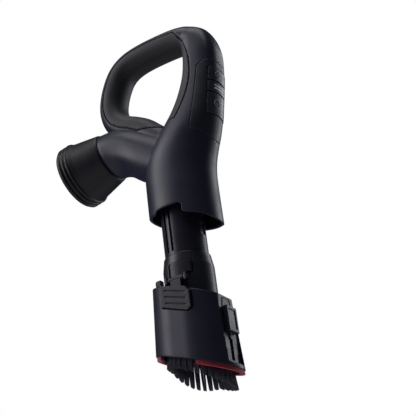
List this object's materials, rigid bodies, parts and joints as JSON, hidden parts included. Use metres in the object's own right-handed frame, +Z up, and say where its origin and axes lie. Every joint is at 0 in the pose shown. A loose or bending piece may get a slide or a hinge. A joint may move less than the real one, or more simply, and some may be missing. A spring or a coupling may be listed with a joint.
{
  "type": "handheld vacuum hose handle with dusting brush",
  "caption": "Loop-grip vacuum hose handle with control buttons, swivelling hose cuff and a slanted dusting-brush nozzle that slides on its spigot tube.",
  "frame": {"origin": "tube axis at the spigot tube's lower end", "axes": "+Z up the tube towards the grip, +X towards the control buttons, release lever on the -Y side"},
  "size_m": [0.1628, 0.0596, 0.3256],
  "materials": {
    "shell_plastic": "satin black moulded plastic",
    "grip_rubber": "soft-touch overmould",
    "panel_plastic": "fine-grained black",
    "button_plastic": "dark blue-grey keys with pale marks",
    "indicator": "translucent light guide",
    "tube_plastic": "semi-gloss black tube",
    "cuff_plastic": "satin black",
    "nozzle_plastic": "satin black",
    "lever_plastic": "satin dark grey",
    "lint_felt": "red velour strip",
    "bristle": "black nylon filament",
    "seal_rubber": "black sealing rubber",
    "screw_steel": "zinc-plated steel",
    "spring_steel": "spring steel",
    "board": "green board",
    "inner_plastic": "black"
  },
  "bodies": {
    "handle": {"handle_shell_left": "shell_plastic", "handle_shell_right": "shell_plastic", "grip_insert": "grip_rubber", "control_panel": "panel_plastic", "indicator_window": "indicator", "circuit_board": "board", "button_switches": "inner_plastic", "shell_screws": "screw_steel", "guide_collar": "inner_plastic", "spigot_tube": "tube_plastic", "tube_seal": "seal_rubber", "elbow": "shell_plastic", "elbow_clip_ring": "spring_steel"},
    "cuff": {"hose_cuff": "cuff_plastic", "cuff_seal": "seal_rubber"},
    "nozzle": {"nozzle_connector": "tube_plastic", "connector_seal": "seal_rubber", "lever_pin": "screw_steel", "lever_spring": "spring_steel", "nozzle_shell": "nozzle_plastic", "nozzle_duct": "inner_plastic", "recess_plate": "panel_plastic", "guide_tab": "nozzle_plastic", "lint_strip_front": "lint_felt", "lint_strip_rear": "lint_felt", "slider_detent": "spring_steel", "nozzle_screws": "screw_steel"},
    "lever": {"release_lever": "lever_plastic"},
    "brush": {"slider_knob": "button_plastic", "brush_carrier": "inner_plastic", "bristle_tufts": "bristle"},
    "key_upper": {"upper_button": "button_plastic"},
    "key_middle": {"middle_button": "button_plastic"},
    "key_power": {"power_button": "button_plastic"}
  },
  "joints": [
    {"name": "cuff_swivel", "type": "hinge", "parent": "handle", "child": "cuff", "pos_m": [-0.063, 0, 0.1428], "axis": [-0.9848, 0, -0.1736], "continuous": true},
    {"name": "nozzle_slide", "type": "slide", "parent": "handle", "child": "nozzle", "axis": [0, 0, 1], "range_m": [0, 0.055]},
    {"name": "latch_lever", "type": "hinge", "parent": "nozzle", "child": "lever", "pos_m": [0, -0.0213, 0.0015], "axis": [1, 0, 0], "range_deg": [0, 2.6], "stiffness_Nm_per_rad": 0.6, "deforming": ["lever_spring"]},
    {"name": "brush_slide", "type": "slide", "parent": "nozzle", "child": "brush", "axis": [0, 0, 1], "range_m": [-0.014, 0]},
    {"name": "upper_press", "type": "slide", "parent": "handle", "child": "key_upper", "axis": [-0.9755, 0, 0.2199], "range_m": [0, 0.0008], "stiffness_N_per_m": 600},
    {"name": "middle_press", "type": "slide", "parent": "handle", "child": "key_middle", "axis": [-0.9755, 0, 0.2199], "range_m": [0, 0.0008], "stiffness_N_per_m": 600},
    {"name": "power_press", "type": "slide", "parent": "handle", "child": "key_power", "axis": [-0.9755, 0, 0.2199], "range_m": [0, 0.0008], "stiffness_N_per_m": 600}
  ]
}
